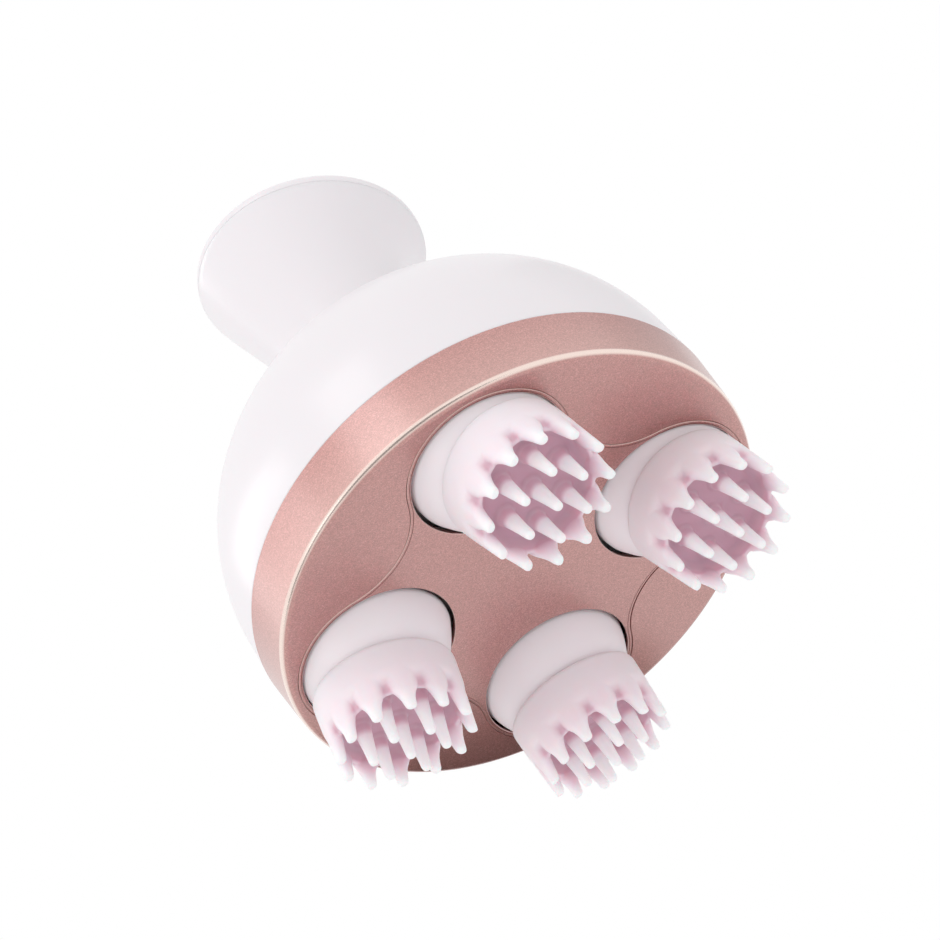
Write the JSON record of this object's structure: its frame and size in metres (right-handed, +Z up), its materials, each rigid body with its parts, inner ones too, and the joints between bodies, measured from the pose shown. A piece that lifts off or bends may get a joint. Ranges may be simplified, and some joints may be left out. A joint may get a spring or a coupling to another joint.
{
  "type": "electric scalp massager",
  "caption": "Handheld electric scalp massager: a domed body with a flared grip knob and leaning, rotating heads of soft silicone fingers under a metallic face.",
  "frame": {"origin": "on the body axis, level with the lowest fingertips that the massager stands on", "axes": "+Z up along the body axis towards the grip knob, heads below; +X is the side towards which the knob's end slopes down"},
  "size_m": [0.105, 0.105, 0.1358],
  "materials": {
    "rose_metal": "satin metallic rose-gold coat over moulded plastic, fine sparkle grain",
    "white_shell": "warm white, soft semi-gloss",
    "head_plastic": "pale lilac-grey, smooth",
    "silicone": "soft matt pale pink silicone",
    "dark_rubber": "matt",
    "grey_rubber": "matt",
    "light_guide": "milky translucent",
    "dark_plastic": "fine matt",
    "inner_plastic": "moulded ABS",
    "gear_plastic": "acetal",
    "circuit_board": "green solder mask",
    "cell_wrap": "shrink sleeve",
    "cable": "flat cable",
    "brass": "turned",
    "steel": "ground"
  },
  "bodies": {
    "housing": {"bezel_ring": "rose_metal", "face_plate": "rose_metal", "dome_shell": "white_shell", "housing_seal": "dark_rubber", "knob_shell": "white_shell", "neck_nut": "steel", "knob_end_plate": "white_shell", "light_ring": "light_guide", "tact_switch": "dark_plastic", "switch_board": "circuit_board", "switch_board_screws": "steel", "ribbon_cable": "cable", "main_board": "circuit_board", "battery_cell": "cell_wrap", "battery_holder": "inner_plastic", "charging_socket": "dark_plastic", "socket_grommet": "grey_rubber", "motor_can": "steel", "gearbox_tray": "inner_plastic", "gearbox_cover": "inner_plastic", "centre_axle": "steel", "lower_bushes": "brass", "upper_bushes": "brass", "spindle_seals": "dark_rubber", "bezel_screws": "steel", "tray_screws": "steel", "gearbox_screws": "steel", "motor_screws": "steel"},
    "drive": {"double_gear": "gear_plastic"},
    "rotor": {"motor_pinion": "brass"},
    "button": {"power_button": "rose_metal", "switch_plunger": "dark_plastic"},
    "head_1": {"head_gear_1": "gear_plastic", "spindle_1": "steel", "head_base_1": "head_plastic", "head_screw_1": "steel", "finger_cap_1": "silicone"},
    "head_2": {"head_gear_2": "gear_plastic", "spindle_2": "steel", "head_base_2": "head_plastic", "head_screw_2": "steel", "finger_cap_2": "silicone"},
    "head_3": {"head_gear_3": "gear_plastic", "spindle_3": "steel", "head_base_3": "head_plastic", "head_screw_3": "steel", "finger_cap_3": "silicone"},
    "head_4": {"head_gear_4": "gear_plastic", "spindle_4": "steel", "head_base_4": "head_plastic", "head_screw_4": "steel", "finger_cap_4": "silicone"}
  },
  "joints": [
    {"name": "drive_spin", "type": "hinge", "parent": "housing", "child": "drive", "pos_m": [0, 0, 0.03324], "axis": [0, 0, 1], "continuous": true},
    {"name": "rotor_spin", "type": "hinge", "parent": "housing", "child": "rotor", "pos_m": [0.01591, 0.01591, 0.04794], "axis": [0, 0, 1], "continuous": true},
    {"name": "head_1_spin", "type": "hinge", "parent": "housing", "child": "head_1", "pos_m": [0, -0.0325, 0.03056], "axis": [0, 0, 1], "continuous": true},
    {"name": "head_2_spin", "type": "hinge", "parent": "housing", "child": "head_2", "pos_m": [0.0325, 0, 0.03056], "axis": [0, 0, 1], "continuous": true},
    {"name": "head_3_spin", "type": "hinge", "parent": "housing", "child": "head_3", "pos_m": [-0.0325, 0, 0.03056], "axis": [0, 0, 1], "continuous": true},
    {"name": "head_4_spin", "type": "hinge", "parent": "housing", "child": "head_4", "pos_m": [0, 0.0325, 0.03056], "axis": [0, 0, 1], "continuous": true},
    {"name": "button_press", "type": "slide", "parent": "housing", "child": "button", "axis": [-0.2554, 0, -0.9668], "range_m": [0, 0.001], "stiffness_N_per_m": 1500, "springref_m": -0.001}
  ],
  "couplings": [
    {"joint": "rotor_spin", "follows": "drive_spin", "ratio": -4},
    {"joint": "head_1_spin", "follows": "drive_spin", "ratio": -1.1667},
    {"joint": "head_2_spin", "follows": "drive_spin", "ratio": -1.1667},
    {"joint": "head_3_spin", "follows": "drive_spin", "ratio": -1.1667},
    {"joint": "head_4_spin", "follows": "drive_spin", "ratio": -1.1667}
  ]
}
